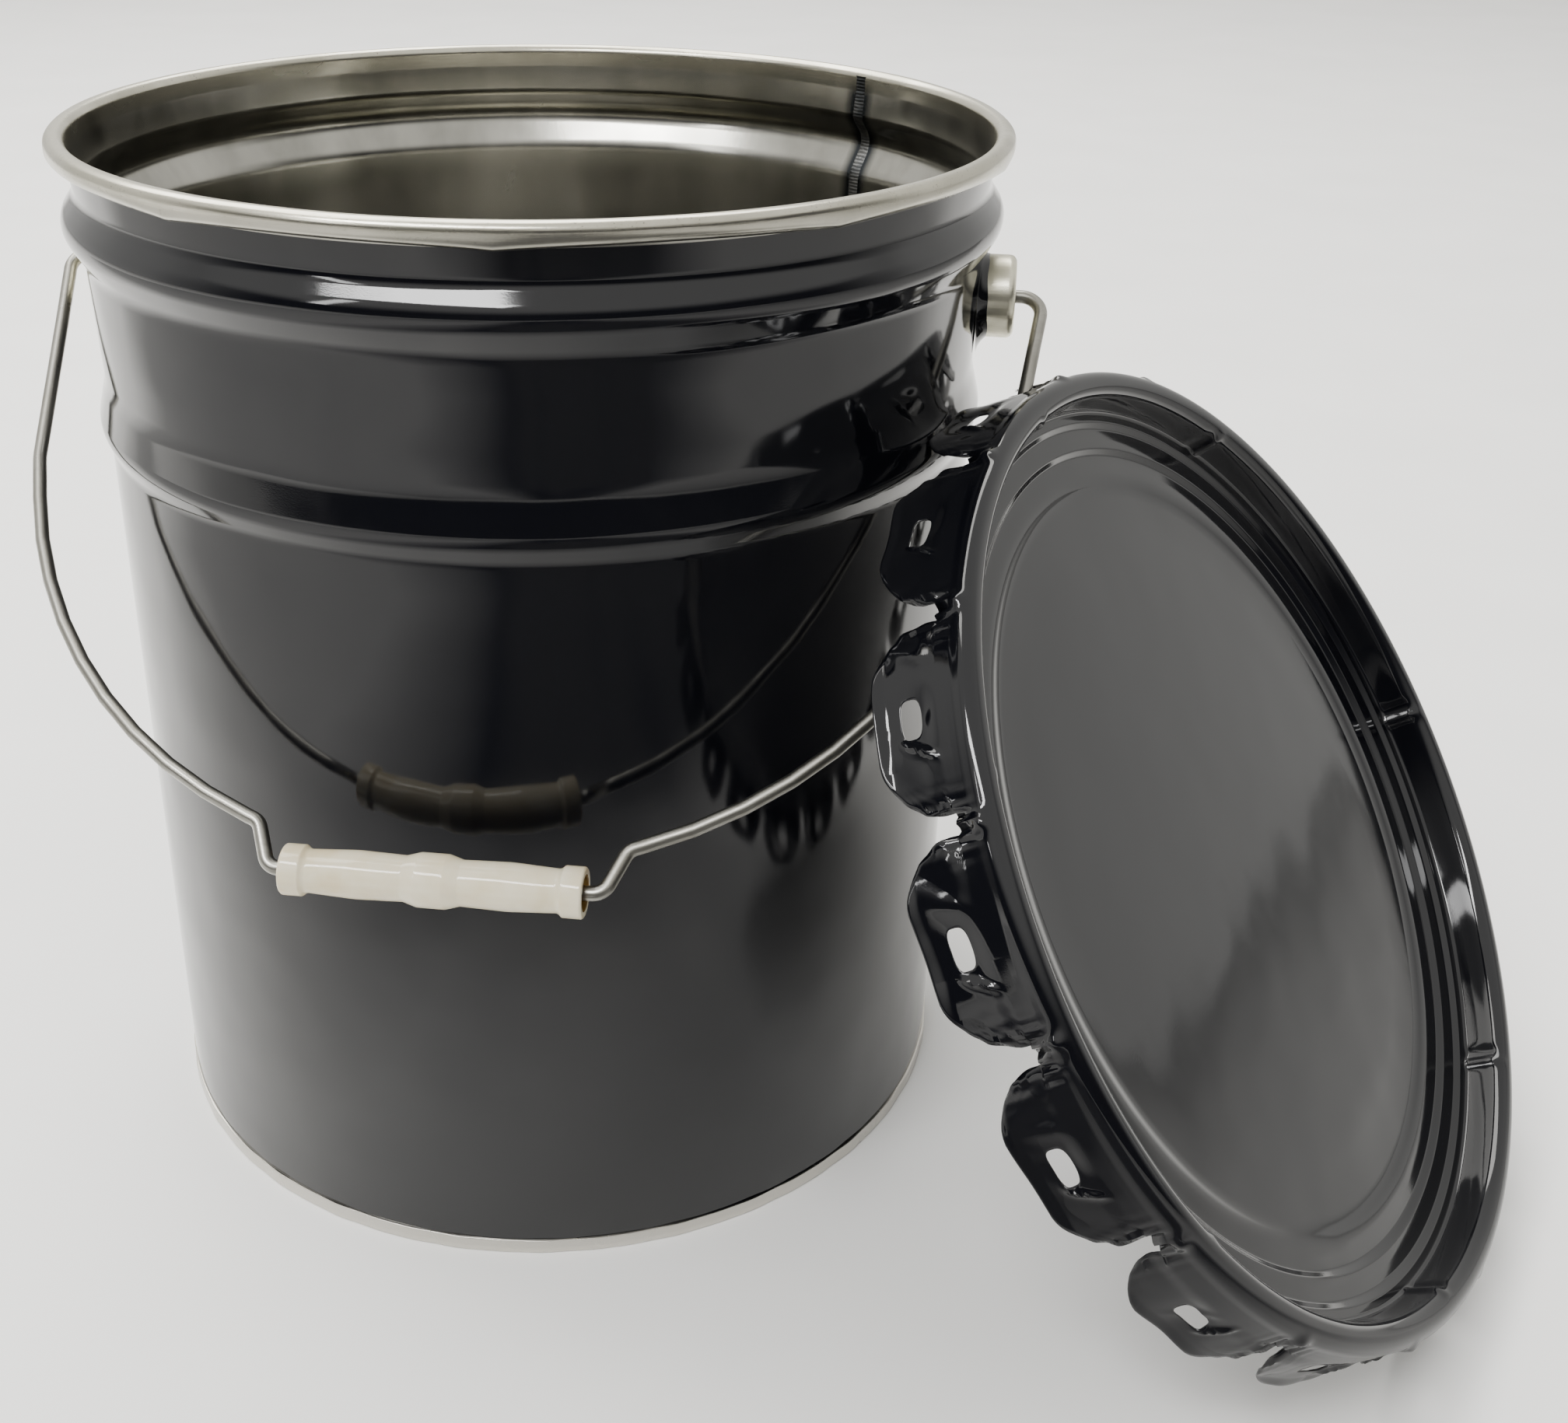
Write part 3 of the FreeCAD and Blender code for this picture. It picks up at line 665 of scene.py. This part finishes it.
def make_paint_fillet(side, azimuth):
    """Thick enamel that ran round an ear's root and hangs a little below it."""
    wall = 142.7
    sides = 64
    shares = (0.0, 0.12, 0.3, 0.55, 0.8, 1.0)
    vertices = []
    turn = Matrix.Rotation(math.radians(azimuth), 3, "Z")
    for k in range(sides):
        angle = 2.0 * math.pi * k / sides
        below = max(0.0, -math.sin(angle)) ** 3
        foot = 15.2 + 3.6 * below + 0.3 * math.sin(3.0 * angle + 1.0)
        lip = 145.3 + 0.3 * math.sin(2.0 * angle) + 0.15 * math.sin(7.0 * angle)
        for share in shares:
            reach = EAR_RADIUS + 0.05 + (foot - EAR_RADIUS) * share
            y, z = reach * math.cos(angle), reach * math.sin(angle)
            base = math.sqrt(wall ** 2 - y ** 2) - 0.15
            out = base + (lip - base) * (1.0 - share) ** 2.2
            vertices.append(turn @ Vector((out, y, z + EAR_HEIGHT)))
    faces = ring_faces(len(shares), sides, False)
    make_object(f"ear_paint_{side}", np.array(vertices) * MM, faces, "pail",
                [ENAMEL])


# ---------------------------------------------------------------- cover

def press_cover(radius, height, degrees):
    """Crimps in the cover's inner wall, pleats between its lugs and bumps on its rim."""
    wall = smooth_step(142.0, 143.3, radius) * smooth_step(147.0, 144.5, radius)
    deep = smooth_step(CREST - 1.0, CREST - 4.0, height)
    for crimp in CRIMPS:
        away = angle_gap(degrees, crimp) * math.radians(1.0) * 144.0
        radius = radius - wall * deep * (0.9 * hump(away, 1.6) - 0.5 * hump(away - 4.2, 2.0))
        height = height + wall * 0.5 * hump(away, 2.2) * (1.0 - deep)
    pitch = 360.0 / LUG_COUNT
    notch = np.floor(degrees / pitch) * pitch + pitch / 2.0
    along = angle_gap(degrees, notch) * math.radians(1.0) * COVER_RADIUS
    phase = notch * 0.7
    skirt = smooth_step(150.0, 152.0, radius)
    low = smooth_step(CREST - 3.0, LUG_ROOT, height)
    pleats = 1.0 * np.sin(along * 2.0 * math.pi / 3.8 + phase) * hump(along, 6.0)
    gather = 0.9 * hump(along, 4.5) * smooth_step(CREST - 5.0, LUG_ROOT, height)
    radius = radius + skirt * (low * pleats - gather)
    rim = smooth_step(150.5, 152.6, radius) * hump(height - (CREST - 4.0), 3.0)
    return radius + rim * 1.4 * hump(along - 1.5 * np.sin(phase), 2.4), height


def lug_boundary(lug):
    """Outer edge of a lug, once round from the left end of its root, in (across, height)."""
    pitch = 360.0 / LUG_COUNT
    column = math.radians(pitch / LUG_COLUMNS) * COVER_RADIUS
    left = WIRE_NOTCH_COLUMNS if lug == WIRE_NOTCH[1] else LUG_HALF_COLUMNS
    right = WIRE_NOTCH_COLUMNS if lug == WIRE_NOTCH[0] else LUG_HALF_COLUMNS
    root = [Vector((column * k, LUG_ROOT)) for k in range(-left, right + 1)]
    start, end = right * column, -left * column
    edge = round_corners([(start, LUG_ROOT, 0.0), (start + 0.6, 0.0, 16.0),
                          (end - 0.6, 0.0, 16.0), (end, LUG_ROOT, 0.0)], step=7.0)
    for point in edge:
        point.y += 2.6 * (point.x / start) ** 2 * (1.0 - point.y / LUG_ROOT)
    return root + divide(edge, 1.3)[1:-1]


def slot_boundary(boundary):
    """Edge of a lug's slot, one point for each point of the outer edge."""
    long_side, short_side, power = 5.5, 2.9, 3.2
    result = []
    for point in boundary:
        away = Vector((point.x, (point.y - SLOT_CENTRE) * 1.15))
        angle = math.atan2(away.y, away.x)
        scale = (abs(math.cos(angle) / long_side) ** power
                 + abs(math.sin(angle) / short_side) ** power) ** (-1.0 / power)
        result.append(Vector((math.cos(angle) * scale, SLOT_CENTRE + math.sin(angle) * scale)))
    return result


def dent_lug(across, height, rng):
    """How far a lug's sheet stands out from its cone, in millimetres."""
    free = smooth_step(LUG_ROOT, LUG_ROOT - 5.0, height)
    dish = -1.1 * hump(np.hypot(across, height - SLOT_CENTRE), 8.0)
    roll = rng.uniform(0.6, 1.6) * smooth_step(3.4, 0.0, height)
    lean = rng.uniform(-0.05, 0.05) * across
    above_tip = smooth_step(1.0, 12.0, height)
    fold = np.zeros_like(across)
    for _ in range(4):
        centre = rng.uniform(-20.0, 20.0)
        tilt = rng.uniform(-0.7, 0.7)
        line = across - centre - tilt * (height - SLOT_CENTRE)
        fold += rng.uniform(-1.2, 1.2) * hump(line, rng.uniform(1.8, 4.5)) * above_tip
    crease = 1.2 * hump(across - rng.uniform(6.0, 9.0) - 0.5 * (height - SLOT_CENTRE), 1.1)
    crease *= smooth_step(5.0, 10.0, height)
    wave = 0.4 * np.sin(across * rng.uniform(0.16, 0.26) + rng.uniform(0.0, 6.3))
    wave *= smooth_step(12.0, 0.0, height)
    return free * (dish + roll + lean + 0.5 * fold + crease + wave)


def make_cover():
    """The cover as one sheet: a turned face and skirt, and a lofted mesh round each lug's slot."""
    points = round_corners(COVER_FACE)
    points = divide(points[:2], 14.0)[:-1] + divide(points[1:], 4.0)
    columns = LUG_COUNT * LUG_COLUMNS
    rows = len(points)
    vertices = [turn_outline(points, columns, press_cover)]
    faces = ring_faces(rows, columns, False)
    start = rows * columns

    rings = 17
    pitch = 2.0 * math.pi / LUG_COUNT
    for lug in range(LUG_COUNT):
        rng = random.Random(100 + lug)
        boundary = lug_boundary(lug)
        slot = slot_boundary(boundary)
        spokes = len(boundary)
        grid = []
        for ring in range(rings):
            share = (ring / (rings - 1)) ** 1.25
            for outer, inner in zip(boundary, slot):
                p = inner.lerp(outer, share)
                grid.append((p.x, p.y))
        across, height = np.array(grid).T
        cone = np.interp(height, [0.0, LUG_ROOT], [LUG_TIP_RADIUS, LUG_ROOT_RADIUS])
        turn = across / COVER_RADIUS + lug * pitch
        radius = cone + dent_lug(across, height, rng)
        radius, height = press_cover(radius, height, np.degrees(turn))
        vertices.append(np.stack([radius * np.cos(turn), radius * np.sin(turn), height], -1))
        for f in ring_faces(spokes, rings, True, False):
            faces.append(tuple(start + i for i in f[::-1]))
        start += rings * spokes

    matrix = np.array(cover_matrix())
    cloud = np.concatenate(vertices) * MM
    cloud = cloud @ matrix[:3, :3].T + matrix[:3, 3]
    cover = make_object("cover_pressing", cloud, faces, "lid", [COVER_ENAMEL])
    join_lugs(cover)
    thick = cover.modifiers.new("sheet", "SOLIDIFY")
    thick.thickness = COVER_SHEET * MM
    thick.offset = -1.0
    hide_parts("lid_cover")


def join_lugs(piece):
    """Join the lugs' roots to the skirt, and make all faces look outwards."""
    work = bmesh.new()
    work.from_mesh(piece.data)
    bmesh.ops.remove_doubles(work, verts=work.verts, dist=0.00002)
    bmesh.ops.recalc_face_normals(work, faces=work.faces)
    centre = Vector(COVER_CENTRE) * MM
    middle = min(work.faces, key=lambda f: (f.calc_center_median() - centre).length)
    outwards = cover_matrix().to_3x3() @ Vector((0.0, 0.0, 1.0))
    if middle.normal.dot(outwards) < 0.0:
        bmesh.ops.reverse_faces(work, faces=work.faces)
    work.to_mesh(piece.data)
    work.free()
    piece.data.polygons.foreach_set("use_smooth", [True] * len(piece.data.polygons))


def paint_nodes():
    """Materials for the CAD nodes that stay in view."""
    for name, material in (("bottom_seam_compound", COMPOUND), ("ear_right", EAR_ZINC),
                           ("ear_left", EAR_ZINC), ("lid_gasket", GASKET)):
        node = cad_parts[name]
        node.data.materials.clear()
        node.data.materials.append(material)


# ---------------------------------------------------------------- studio

def stage_piece(name, vertices, faces, material):
    """Add a mesh that belongs to the studio and not to the object."""
    mesh = bpy.data.meshes.new(name)
    mesh.from_pydata([tuple(v) for v in vertices], [], faces)
    mesh.materials.append(material)
    piece = bpy.data.objects.new(name, mesh)
    bpy.context.scene.collection.objects.link(piece)
    return piece


def make_floor():
    n = Nodes("studio_floor")
    grain = n.noise(8.0, 3.0)
    n.use(
        Base_Color=n.ramp(grain, [(0.3, (0.86, 0.855, 0.84)), (0.7, (0.89, 0.885, 0.87))]),
        Roughness=n.span(grain, 0.65, 0.75),
    )
    size = 6.0
    corners = [(-size, -size, 0.0), (size, -size, 0.0), (size, size, 0.0), (-size, size, 0.0)]
    stage_piece("floor", corners, [(0, 1, 2, 3)], n.material)
    make_backdrop(n.material)


def make_backdrop(material):
    """Pale wall round the floor, for the side views; it neither lights nor reflects."""
    foot, wall, height, columns = 4.4, 5.9, 6.0, 128
    corners = [(foot, 0.001, 0.0), (wall, 0.001, 1.4), (wall, height, 0.0)]
    outline = divide(round_corners(corners), 1.0)
    faces = ring_faces(len(outline), columns, False)
    backdrop = stage_piece("backdrop", turn_outline(outline, columns), faces, material)
    backdrop.data.polygons.foreach_set("use_smooth", [True] * len(backdrop.data.polygons))
    backdrop.visible_shadow = False
    backdrop.visible_diffuse = False
    backdrop.visible_glossy = False
    backdrop.visible_transmission = False


def make_dark_card():
    """Stands for the dark room in front, which only the reflections see."""
    n = Nodes("dark_card")
    place = n.split(n.place)
    uneven = n.noise(5.0, 2.0, n.stretched((1.0, 0.15, 1.0)))
    left, right = -0.12, 0.3
    to_left = n.math("SUBTRACT", left, place["X"])
    to_right = n.math("SUBTRACT", place["X"], right)
    beside = n.math("MAXIMUM", n.math("MAXIMUM", to_left, to_right), 0.0)
    edge = n.math("SUBTRACT", place["Y"], n.math("MULTIPLY", beside, 0.9))
    edge = n.math("ADD", edge, n.math("MULTIPLY", uneven, 0.07))
    strength = n.span(beside, 1.0, 0.53, 0.0, 0.25)
    n.use(
        Base_Color=n.ramp(uneven, [(0.42, (0.006, 0.007, 0.013)), (0.58, (0.04, 0.04, 0.042))]),
        Alpha=n.math("MULTIPLY", n.span(edge, 1.0, 0.0, -0.38, -0.08), strength),
    )
    n.set(Roughness=0.9)
    outline = [(-1.6, -3.0), (5.8, -3.0), (5.8, 5.0), (-1.6, 1.1)]
    height = 0.002
    corners = [(x, y, height) for x, y in outline]
    card = stage_piece("dark_card", corners, [(0, 1, 2, 3)], n.material)
    card.visible_camera = False
    card.visible_shadow = False
    card.visible_diffuse = False


def area_light(name, place, target, size, power, colour=(1.0, 1.0, 1.0)):
    light = bpy.data.lights.new(name, "AREA")
    light.shape = "RECTANGLE"
    light.size, light.size_y = size
    light.energy = power
    light.color = colour
    lamp = bpy.data.objects.new(name, light)
    lamp.location = place
    aim = Vector(target) - Vector(place)
    lamp.rotation_euler = aim.to_track_quat("-Z", "Y").to_euler()
    bpy.context.scene.collection.objects.link(lamp)
    return lamp


def range_node(tree, source, low, high):
    node = tree.nodes.new("ShaderNodeMapRange")
    node.interpolation_type = "SMOOTHSTEP"
    node.inputs["From Min"].default_value = low
    node.inputs["From Max"].default_value = high
    tree.links.new(source, node.inputs["Value"])
    return node.outputs["Result"]


def make_studio():
    world = bpy.data.worlds.new("studio")
    world.use_nodes = True
    bpy.context.scene.world = world
    tree = world.node_tree
    background = tree.nodes["Background"]
    direction = tree.nodes.new("ShaderNodeTexCoord")
    parts = tree.nodes.new("ShaderNodeSeparateXYZ")
    tree.links.new(direction.outputs["Generated"], parts.inputs["Vector"])
    behind = range_node(tree, parts.outputs["Y"], -0.45, 0.3)
    above = range_node(tree, parts.outputs["Z"], 0.25, 0.6)
    brighter = tree.nodes.new("ShaderNodeMath")
    brighter.operation = "MAXIMUM"
    tree.links.new(behind, brighter.inputs[0])
    tree.links.new(above, brighter.inputs[1])
    tone = tree.nodes.new("ShaderNodeMix")
    tone.data_type = "RGBA"
    tone.inputs["A"].default_value = (0.05, 0.05, 0.055, 1.0)
    tone.inputs["B"].default_value = (1.0, 0.99, 0.955, 1.0)
    tree.links.new(brighter.outputs["Value"], tone.inputs["Factor"])
    tree.links.new(tone.outputs["Result"], background.inputs["Color"])
    background.inputs["Strength"].default_value = 1.0
    area_light("key", (-0.6, 1.6, 2.6), (0.0, 0.6, 0.0), (3.2, 2.4), 150.0, (1.0, 0.985, 0.95))
    area_light("front_top", (-0.95, -1.25, 2.2), (0.0, 0.0, 0.3), (1.7, 0.35), 50.0)
    area_light("front_left", (-1.7, -1.3, 1.5), (0.1, 0.0, 0.2), (0.16, 0.9), 5.0)
    fill = area_light("fill", (0.3, -1.0, 2.4), (0.2, -0.2, 0.0), (2.6, 2.6), 30.0,
                      (1.0, 0.99, 0.96))
    fill.visible_glossy = False


def make_camera():
    camera = bpy.data.cameras.new("camera")
    camera.sensor_width = 36.0
    camera.lens = 43.65
    camera.shift_x = 0.0141
    camera.shift_y = -0.092
    camera.clip_start = 0.02
    camera.clip_end = 50.0
    view = bpy.data.objects.new("camera", camera)
    view.location = (0.0, -0.61897, 0.45037)
    yaw = Matrix.Rotation(math.radians(-6.79), 3, "Z")
    pitch = Matrix.Rotation(math.radians(90.0 - 23.51), 3, "X")
    roll = Matrix.Rotation(math.radians(1.10), 3, "Z")
    view.rotation_euler = (yaw @ pitch @ roll).to_euler()
    bpy.context.scene.collection.objects.link(view)
    bpy.context.scene.camera = view


make_wall()
make_weld()
make_end()
make_wire()
make_grip()
make_paint_fillet("right", EAR_AZIMUTH)
make_paint_fillet("left", EAR_AZIMUTH + 180.0)
make_cover()
paint_nodes()
make_floor()
make_dark_card()
make_studio()
make_camera()
bpy.context.view_layer.update()
